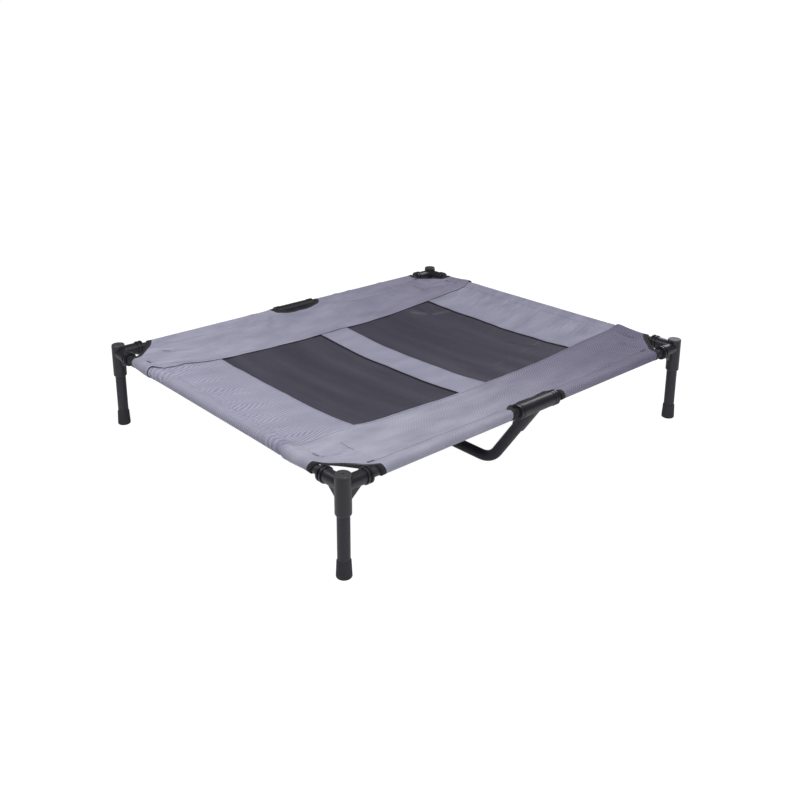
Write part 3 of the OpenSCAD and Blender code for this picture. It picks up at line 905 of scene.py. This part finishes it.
# a sewn line on the cloth between flat points, in short runs so that it follows the wrinkles
def sewnLine(points, height):
    places = []
    for (p0, q0), (p1, q1) in zip(points, points[1:]):
        count = max(2, round(math.hypot(p1 - p0, q1 - q0) / stitchLook["step"]))
        for f in steps(0, 1, count)[(1 if places else 0):]:
            p, q = mix(p0, p1, f), mix(q0, q1, f)
            places.append(clothPoint(p, q, height(p, q) + cover["cloth"] / 2 + stitchLook["proud"]))
    return places


def flapHeight(p, q):
    return wrinkle(p, q) + flapLift(abs(q) - seamQ(p)) + earHump(p, abs(q))


def flapStitches(side):
    inset = stitchLook["hemInset"]
    free = stitchLook["free"]
    long = side * (postY - cover["hem"])
    runs = []
    for sx in (-1, 1):
        sleeve = [sx * (sleeveP(0, 0) + free), sx * (sleeveP(1, 0) - free)]
        runs.append(sewnLine([(p, long) for p in sleeve], flapHeight))
        end = sx * (postX - cover["hem"])
        ends = [side * (seamQ(end) + 2 * inset), side * (postY - cornerCut - clothEdge - free)]
        runs.append(sewnLine([(end, q) for q in ends], flapHeight))
    hem = [(p, side * (seamQ(p) + inset)) for p in steps(-postX, postX, 60)]
    runs.append(sewnLine(hem, lambda p, q: wrinkle(p, q) + earHump(p, abs(q)) + stitchLook["flapHem"]))
    return runs


def panelStitches(places, lift, raised):
    def height(p, q):
        return lift(p, q) - underFlap(p, q) + raised(p)

    runs = []
    for p in places:
        reach = seamQ(p) - stitchLook["short"]
        runs.append(sewnLine([(p, -reach), (p, reach)], height))
    return runs


def endRaised(p):
    inside = abs(p) - netEdges[1]
    return stitchLook["panelHem"] if inside < foldFades["panel"][0] else foldLift(inside)


# stitches by the thread they are sewn with
stitches = {"flap_thread": [stitchRows("front_flap_stitches", flapStitches(-1))],
            "panel_thread": [stitchRows("back_flap_stitches", flapStitches(1))]}
for end, side in endSides.items():
    places = [side * (postX - cover["hem"]), side * (netEdges[1] + stitchLook["hemInset"])]
    rows = stitchRows(end + "_end_stitches", panelStitches(places, endLift, endRaised))
    stitches["panel_thread"].append(rows)
stripPlaces = [s * (cover["strip"] / 2 - stitchLook["hemInset"]) for s in (-1, 1)]
rows = stitchRows("strip_stitches", panelStitches(stripPlaces, wrinkle, lambda p: stitchLook["panelHem"]))
stitches["panel_thread"].append(rows)

# sewn bars that hold the sleeves' ends: a middle inside the two rails in mm, and the way the bar runs
tacks = {
    "front_left": [((76, 24), (1, 0)), ((24, 100), (0, 1))],
    "front_right": [((76, 24), (1, 0)), ((24, 92), (0, 1))],
    "back_right": [((76, 24), (1, 0)), ((24, 92), (0, 1))],
    "back_left": [((76, 64), (1, 0.4)), ((13, 106), (0, 1))],
}
# sewn outlines of the patches inside two corners, in mm
patches = {
    "front_left": [[(24, 135), (24, 88), (60, 79)], [(82, 107), (77, 80), (79, 70)]],
    "back_right": [[(108, 52), (110, 100), (58, 108)]],
}
# a bar's ends and rows in mm, and how far its thread stands up
tackLook = {"ends": (-7, 7), "rows": (-2, -1, 0, 1, 2), "raised": 0.45 * mm}


def tackHeight(p, q):
    return flapHeight(p, q) + tackLook["raised"]


tackRuns = []
for name, bars in tacks.items():
    for (a, b), (da, db) in bars:
        for row in tackLook["rows"]:
            run = [(a + k * da + row * db, b + k * db + row * da) for k in tackLook["ends"]]
            tackRuns.append(sewnLine(insideCorner(name, run), tackHeight))
for name, runs in patches.items():
    for run in runs:
        tackRuns.append(sewnLine(insideCorner(name, run), tackHeight))
stitches["tack_thread"] = [stitchRows("sleeve_tacks", tackRuns)]
print("stitches done")


# materials
def startMaterial(name, baseColor, roughness):
    finish = bpy.data.materials.new(name)
    finish.use_nodes = True
    shader = finish.node_tree.nodes["Principled BSDF"]
    shader.inputs["Base Color"].default_value = (*baseColor, 1)
    shader.inputs["Roughness"].default_value = roughness
    return finish, finish.node_tree, shader


def addNode(tree, kind, settings=None, **inputs):
    node = tree.nodes.new(kind)
    for key, value in (settings or {}).items():
        setattr(node, key, value)
    for key, value in inputs.items():
        socket = node.inputs[int(key[1:])] if key[1:].isdigit() else node.inputs[key.replace("_", " ")]
        if isinstance(value, bpy.types.NodeSocket):
            tree.links.new(value, socket)
        else:
            socket.default_value = value
    return node


def calc(tree, operation, a, b=0.0, c=0.0):
    return addNode(tree, "ShaderNodeMath", {"operation": operation}, i0=a, i1=b, i2=c).outputs[0]


def blend(tree, low, high, factor):
    node = addNode(tree, "ShaderNodeMix", {"data_type": "RGBA"}, i0=factor)
    for slot, value in ((6, low), (7, high)):
        if isinstance(value, bpy.types.NodeSocket):
            tree.links.new(value, node.inputs[slot])
        else:
            node.inputs[slot].default_value = (*value, 1)
    return node.outputs[2]


def bumpInto(tree, shader, height, strength, distance):
    bump = addNode(tree, "ShaderNodeBump", None, Strength=strength, Distance=distance, Height=height)
    tree.links.new(bump.outputs[0], shader.inputs["Normal"])


def flatCoords(tree):
    uvNode = addNode(tree, "ShaderNodeUVMap", {"uv_map": "UVMap"})
    split = addNode(tree, "ShaderNodeSeparateXYZ", None, Vector=uvNode.outputs[0])
    return uvNode.outputs[0], split.outputs[0], split.outputs[1]


def paintedShadeAndLight(tree):
    return addNode(tree, "ShaderNodeAttribute", {"attribute_name": "paintedShadeAndLight"}).outputs["Fac"]


def setShine(shader, look):
    shader.inputs["Sheen Weight"].default_value = look["sheen"]
    shader.inputs["Specular IOR Level"].default_value = look["shine"]


def wavesOf(tree, coordinate, pitch):
    return calc(tree, "SINE", calc(tree, "MULTIPLY", coordinate, 2 * math.pi / pitch))


def noiseOf(tree, coords, scale, detail=3.0, stretch=None):
    if stretch:
        coords = addNode(tree, "ShaderNodeMapping", None, Vector=coords, Scale=stretch).outputs[0]
    return addNode(tree, "ShaderNodeTexNoise", None, Vector=coords, Scale=scale, Detail=detail).outputs[0]


clothLook = {
    # thread is the dark colour painted on the folded edges: partly thread, partly painted shade under the folds
    "deep": (0.300, 0.295, 0.396), "pale": (0.448, 0.440, 0.560), "thread": (0.012, 0.011, 0.015),
    "yarn": 1.1 * mm, "roughness": 0.76, "sheen": 0.1, "sheenRough": 0.4, "shine": 0.25,
    "check": 0.10, "rib": 1.0,  # shares of the weave and the ribs in the shade
    "warp": 9 * mm, "warpScale": 22.0, "unevenScale": 11.0,  # ribs that wander and fade
    # uneven tone and thicker yarns: detail, stretch and share in the shade
    "fields": {"blotch": (4.0, (10, 26, 1), 1.9), "slub": (2.0, (700, 40, 1), 0.5),
               "pick": (2.0, (40, 700, 1), 0.4)},
    "bump": 0.4 * mm,
}
# ribs of the weave: the way across them, their pitch and how strong they are at the cot's left and right
# painted shade: the cloth's colour is scaled from the first factor to the second over "turn", a share of the cot's
# length, so it darkens towards the cot's right where less light falls
clothCuts = {
    "front_flap": {"across": (0.77, -0.64), "pitch": 4.6 * mm, "ribs": (-0.12, 1.1), "turn": (0.2, 0.95),
                   "paintedShades": ((1.12, 1.125, 1.09), (0.555, 0.522, 0.595))},
    "back_flap": {"across": (0.77, 0.64), "pitch": 4.6 * mm, "ribs": (0.15, 0.6), "turn": (0, 1),
                  "paintedShades": ((1.09, 1.10, 1.08), (0.81, 0.78, 0.83))},
    "panels": {"across": (-0.24, 0.97), "pitch": 5.4 * mm, "ribs": (1.05, 0.12), "turn": (0, 1),
               "paintedShades": ((1.03, 1.03, 1.03), (0.97, 0.97, 0.98))},
}


# a noise added to a shade, about its middle
def addNoise(tree, shade, field, share):
    return calc(tree, "MULTIPLY_ADD", calc(tree, "SUBTRACT", field, 0.5), share, shade)


def coverCloth(name):
    cut = clothCuts[name]
    finish, tree, shader = startMaterial("cover_cloth_" + name, clothLook["pale"], clothLook["roughness"])
    coords, u, v = flatCoords(tree)
    yarns = [wavesOf(tree, way, 2 * clothLook["yarn"]) for way in (u, v)]
    parity = calc(tree, "MULTIPLY", *yarns)
    along = calc(tree, "MULTIPLY_ADD", u, 1 / (2 * postX), 0.5)
    warp = calc(tree, "MULTIPLY", noiseOf(tree, coords, clothLook["warpScale"], 2.0), clothLook["warp"])
    across = calc(tree, "MULTIPLY_ADD", v, cut["across"][1], warp)
    across = calc(tree, "MULTIPLY_ADD", u, cut["across"][0], across)
    ribs = wavesOf(tree, across, cut["pitch"])
    uneven = calc(tree, "MULTIPLY_ADD", noiseOf(tree, coords, clothLook["unevenScale"], 2.0), 1.8, -0.2)
    strength = calc(tree, "MULTIPLY_ADD", along, cut["ribs"][1] - cut["ribs"][0], cut["ribs"][0])
    ribs = calc(tree, "MULTIPLY", ribs, calc(tree, "MULTIPLY", uneven, strength))
    shade = calc(tree, "MULTIPLY_ADD", parity, clothLook["check"], 0.5)
    shade = calc(tree, "MULTIPLY_ADD", ribs, clothLook["rib"], shade)
    fields = {}
    for key, (detail, stretch, share) in clothLook["fields"].items():
        fields[key] = noiseOf(tree, coords, 1.0, detail, stretch)
        shade = addNoise(tree, shade, fields[key], share)
    woven = blend(tree, clothLook["deep"], clothLook["pale"], shade)
    # painted shade along the cot: the woven colour times a factor that falls from the cot's left to its right
    paintedShadeMix = addNode(tree, "ShaderNodeMix", {"data_type": "RGBA", "blend_type": "MULTIPLY"}, i0=1.0)
    tree.links.new(woven, paintedShadeMix.inputs[6])
    start, end = cut["turn"]
    smooth = {"interpolation_type": "SMOOTHSTEP"}
    turned = addNode(tree, "ShaderNodeMapRange", smooth, i0=along, i1=start, i2=end)
    tree.links.new(blend(tree, *cut["paintedShades"], turned.outputs[0]), paintedShadeMix.inputs[7])
    # the folded edges are painted dark: partly thread, partly painted shade under the folds
    mark = calc(tree, "MINIMUM", paintedShadeAndLight(tree), 0.95)
    tree.links.new(blend(tree, paintedShadeMix.outputs[2], clothLook["thread"], mark), shader.inputs["Base Color"])
    height = calc(tree, "MULTIPLY", fields["slub"], 0.4)
    height = calc(tree, "MULTIPLY_ADD", calc(tree, "ABSOLUTE", parity), 0.5, height)
    height = calc(tree, "MULTIPLY_ADD", ribs, 0.7, height)
    bumpInto(tree, shader, height, 0.8, clothLook["bump"])
    setShine(shader, clothLook)
    shader.inputs["Sheen Roughness"].default_value = clothLook["sheenRough"]
    return finish


netLook = {
    "yarn": (0.054, 0.050, 0.077), "raised": (0.086, 0.080, 0.114),
    "paintedLight": (0.28, 0.27, 0.30), "pit": (0.010, 0.009, 0.012),
    "pitch": 1.7 * mm, "pitFrom": 1.3,  # where the two waves' sum is a pit
    "roughness": 0.6, "sheen": 0.05, "shine": 0.3, "bump": 0.25 * mm,
    "blotch": 12.0, "slub": (700, 30, 1), "bands": (24, 2.5, 1), "bandShare": 2.6,
    # the dim band is painted shade, where a shadow falls across each net
    "shadeBandAt": 0.146, "shadeBandWidth": 0.02,  # a dim band along each net
}


def netCloth():
    finish, tree, shader = startMaterial("net_cloth_mesh", netLook["yarn"], netLook["roughness"])
    coords, u, v = flatCoords(tree)
    weave = calc(tree, "ADD", wavesOf(tree, u, netLook["pitch"]), wavesOf(tree, v, netLook["pitch"]))
    pits = calc(tree, "GREATER_THAN", weave, netLook["pitFrom"])
    blotch = noiseOf(tree, coords, netLook["blotch"], 4.0)
    slub = noiseOf(tree, coords, 1.0, 2.0, netLook["slub"])
    bands = noiseOf(tree, coords, 1.0, 2.0, netLook["bands"])
    shade = calc(tree, "MULTIPLY_ADD", blotch, 0.5, calc(tree, "MULTIPLY", slub, 0.3))
    shade = addNoise(tree, shade, bands, netLook["bandShare"])
    # painted shade: a darker band along each net
    apart = calc(tree, "SUBTRACT", calc(tree, "ABSOLUTE", u), netLook["shadeBandAt"])
    apart = calc(tree, "MULTIPLY", apart, 1 / netLook["shadeBandWidth"])
    shadeBand = calc(tree, "EXPONENT", calc(tree, "MULTIPLY", calc(tree, "MULTIPLY", apart, apart), -1.0))
    shade = calc(tree, "MULTIPLY_ADD", shadeBand, -0.5, shade)
    # painted shade: the mesh's openings are painted near black
    woven = blend(tree, blend(tree, netLook["yarn"], netLook["raised"], shade), netLook["pit"], pits)
    # painted light: the net is lightened along its painted streaks
    paintedLight = blend(tree, woven, netLook["paintedLight"], calc(tree, "MULTIPLY", paintedShadeAndLight(tree), 0.5))
    tree.links.new(paintedLight, shader.inputs["Base Color"])
    bumpInto(tree, shader, calc(tree, "MULTIPLY", weave, -0.5), 0.5, netLook["bump"])
    setShine(shader, netLook)
    return finish


tapeLook = {
    "deep": (0.010, 0.010, 0.012), "pale": (0.024, 0.023, 0.027), "thread": (0.05, 0.048, 0.055),
    "rib": 1.0 * mm, "roughness": 0.72, "sheen": 0.06, "shine": 0.3, "bump": 0.2 * mm,
    "stitch": 3.2 * mm, "lineAt": 1.6 * mm, "lineHalf": 0.45 * mm,
}


def bindingTape():
    finish, tree, shader = startMaterial("binding_tape_rib", tapeLook["pale"], tapeLook["roughness"])
    coords, u, v = flatCoords(tree)
    ribs = wavesOf(tree, u, tapeLook["rib"])
    blotch = noiseOf(tree, coords, 220.0, 3.0)
    shade = calc(tree, "MULTIPLY_ADD", blotch, 0.8, calc(tree, "MULTIPLY_ADD", ribs, 0.2, 0.1))
    woven = blend(tree, tapeLook["deep"], tapeLook["pale"], shade)
    dash = calc(tree, "GREATER_THAN", wavesOf(tree, u, tapeLook["stitch"]), -0.4)
    line = calc(tree, "COMPARE", v, tapeLook["lineAt"], tapeLook["lineHalf"])
    sewn = calc(tree, "MULTIPLY", dash, line)
    tree.links.new(blend(tree, woven, tapeLook["thread"], sewn), shader.inputs["Base Color"])
    bumpInto(tree, shader, calc(tree, "MULTIPLY_ADD", sewn, 1.5, ribs), 0.6, tapeLook["bump"])
    setShine(shader, tapeLook)
    return finish


threadLook = {"roughness": 0.6, "grain": 1500.0, "bump": 0.1 * mm}
threadColors = {
    "panel_thread": {"deep": (0.30, 0.29, 0.39), "pale": (0.40, 0.385, 0.49)},
    "flap_thread": {"deep": (0.09, 0.088, 0.12), "pale": (0.15, 0.145, 0.19)},
    "tack_thread": {"deep": (0.12, 0.115, 0.16), "pale": (0.19, 0.18, 0.24)},
}


def sewingThread(name):
    colors = threadColors[name]
    finish, tree, shader = startMaterial(name, colors["pale"], threadLook["roughness"])
    place = addNode(tree, "ShaderNodeTexCoord").outputs["Object"]
    twist = noiseOf(tree, place, threadLook["grain"], 2.0)
    tree.links.new(blend(tree, colors["deep"], colors["pale"], twist), shader.inputs["Base Color"])
    bumpInto(tree, shader, twist, 0.4, threadLook["bump"])
    return finish


# finishes of the CAD nodes, by how the nodes' names start
hardLooks = {
    "connector_plastic": {"nodes": ("corner_connector", "tee_connector"),
                          "deep": (0.013, 0.0120, 0.0175), "pale": (0.020, 0.0184, 0.0275),
                          "rough": 0.27, "wearAndPaintedLight": 0.43, "shine": 0.62, "grain": 900, "bump": 0.05 * mm},
    # painted light: the plugs are a lighter copy of the connectors' plastic, as their tops face the light
    "plug_plastic": {"nodes": ("corner_plug",),
                     "deep": (0.048, 0.0465, 0.0530), "pale": (0.068, 0.0660, 0.0750),
                     "rough": 0.34, "wearAndPaintedLight": 0.5, "shine": 0.5, "grain": 900, "bump": 0.05 * mm},
    "tube_steel": {"nodes": ("leg_tube", "side_rail", "end_rail", "center_support"),
                   "deep": (0.026, 0.0244, 0.0335), "pale": (0.039, 0.0366, 0.0500),
                   "rough": 0.36, "wearAndPaintedLight": 0.5, "shine": 0.42, "grain": 420, "bump": 0.05 * mm},
    "foot_rubber": {"nodes": ("rubber_foot",),
                    "deep": (0.036, 0.0345, 0.0400), "pale": (0.056, 0.0538, 0.0620),
                    "rough": 0.62, "wearAndPaintedLight": 0.85, "shine": 0.3, "grain": 650, "bump": 0.06 * mm},
}


def hardFinish(name):
    look = hardLooks[name]
    finish, tree, shader = startMaterial(name + "_finish", look["pale"], look["wearAndPaintedLight"])
    place = addNode(tree, "ShaderNodeTexCoord").outputs["Object"]
    grain = noiseOf(tree, place, look["grain"], 2.0)
    cloud = noiseOf(tree, place, 42.0, 4.0)
    tree.links.new(blend(tree, look["deep"], look["pale"], cloud), shader.inputs["Base Color"])
    wear = calc(tree, "MULTIPLY_ADD", cloud, 0.7, calc(tree, "MULTIPLY", grain, 0.3))
    rough = calc(tree, "MULTIPLY_ADD", wear, look["wearAndPaintedLight"] - look["rough"], look["rough"])
    tree.links.new(rough, shader.inputs["Roughness"])
    bumpInto(tree, shader, grain, 0.5, look["bump"])
    shader.inputs["Specular IOR Level"].default_value = look["shine"]
    return finish


def dress(piece, finish):
    piece.data.materials.clear()
    piece.data.materials.append(finish)


groups = [
    ([lightPieces["left"], lightPieces["right"], lightPieces["strip"]], coverCloth("panels")),
    ([lightPieces["front"]], coverCloth("front_flap")),
    ([lightPieces["back"]], coverCloth("back_flap")),
    (netPieces.values(), netCloth()),
    (tapes, bindingTape()),
]
groups += [(rows, sewingThread(name)) for name, rows in stitches.items()]
for name, look in hardLooks.items():
    nodes = [node for nodeName, node in frame["nodes"].items() if nodeName.startswith(look["nodes"])]
    groups.append((nodes, hardFinish(name)))
for pieces, finish in groups:
    for piece in pieces:
        dress(piece, finish)
print("materials done")

# floor, light and camera
stageLook = {
    "size": 40.0, "color": (0.86, 0.86, 0.87), "roughness": 0.9,
    "white": 0.78, "under": 0.2, "glow": 1.26,  # shares of glow to the camera and to the cot, its strength
    "sky": 1.05, "fill": 0.16, "fillColor": (0.97, 0.98, 1.0),
    "aim": (0.0, 0.0, 0.15),  # where the lamps point
}


def throughLens(tree):
    path = addNode(tree, "ShaderNodeLightPath")
    return calc(tree, "MAXIMUM", path.outputs["Is Camera Ray"], path.outputs["Is Transmission Ray"])


bpy.ops.object.select_all(action="DESELECT")
bpy.ops.mesh.primitive_plane_add(size=stageLook["size"], location=(0, 0, 0))
floor = bpy.context.object
floor.name = "floor"
paper, tree, shader = startMaterial("floor_paper", stageLook["color"], stageLook["roughness"])
glow = addNode(tree, "ShaderNodeEmission", None, Strength=stageLook["glow"])
white, under = stageLook["white"], stageLook["under"]
share = calc(tree, "MULTIPLY_ADD", throughLens(tree), white - under, under)
both = addNode(tree, "ShaderNodeMixShader", None, i0=share, i1=shader.outputs[0], i2=glow.outputs[0])
tree.links.new(both.outputs[0], tree.nodes["Material Output"].inputs["Surface"])
dress(floor, paper)
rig.stage(floor)

scene = bpy.context.scene
world = bpy.data.worlds.new("studio")
scene.world = world
world.use_nodes = True
sky = world.node_tree
backdrop = sky.nodes["Background"]
backdrop.inputs["Color"].default_value = (*stageLook["fillColor"], 1)
fill = stageLook["fill"]
level = calc(sky, "MULTIPLY_ADD", throughLens(sky), stageLook["sky"] - fill, fill)
sky.links.new(level, backdrop.inputs["Strength"])

lamps = {
    "front": {"place": (-0.2, -1.2, 1.9), "size": 0.8, "power": 16.8},
    "right": {"place": (1.6, 0.2, 1.2), "size": 0.8, "power": 9},
    "left": {"place": (-0.7, 0.1, 1.1), "size": 0.5, "power": 5.4},
}
for name, lamp in lamps.items():
    bpy.ops.object.light_add(type="AREA", location=lamp["place"])
    softbox = bpy.context.object
    softbox.name = name + "_softbox"
    softbox.data.size = lamp["size"]
    softbox.data.energy = lamp["power"]
    toAim = Vector(stageLook["aim"]) - Vector(lamp["place"])
    softbox.rotation_euler = toAim.to_track_quat("-Z", "Y").to_euler()

lens = {"azimuth": -41.2497, "elevation": 16.4356, "distance": 2.6793, "aim": (0.46596, 0.57626, 0.09),
        "focal": 42.404, "sensor": 36, "shiftX": 0.0198, "shiftY": -0.15}
az = math.radians(lens["azimuth"])
el = math.radians(lens["elevation"])
away = Vector((math.sin(az) * math.cos(el), -math.cos(az) * math.cos(el), math.sin(el)))
bpy.ops.object.camera_add(location=Vector(lens["aim"]) + away * lens["distance"])
camera = bpy.context.object
camera.rotation_euler = (-away).to_track_quat("-Z", "Y").to_euler()
camera.data.lens = lens["focal"]
camera.data.sensor_width = lens["sensor"]
camera.data.shift_x = lens["shiftX"]
camera.data.shift_y = lens["shiftY"]
scene.camera = camera
scene.view_settings.view_transform = "Standard"
print("stage done")

with open("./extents.json", "w") as out:
    json.dump({"cad": [list(c) for c in cadBox], "visual": [list(c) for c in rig.bounds()]}, out)
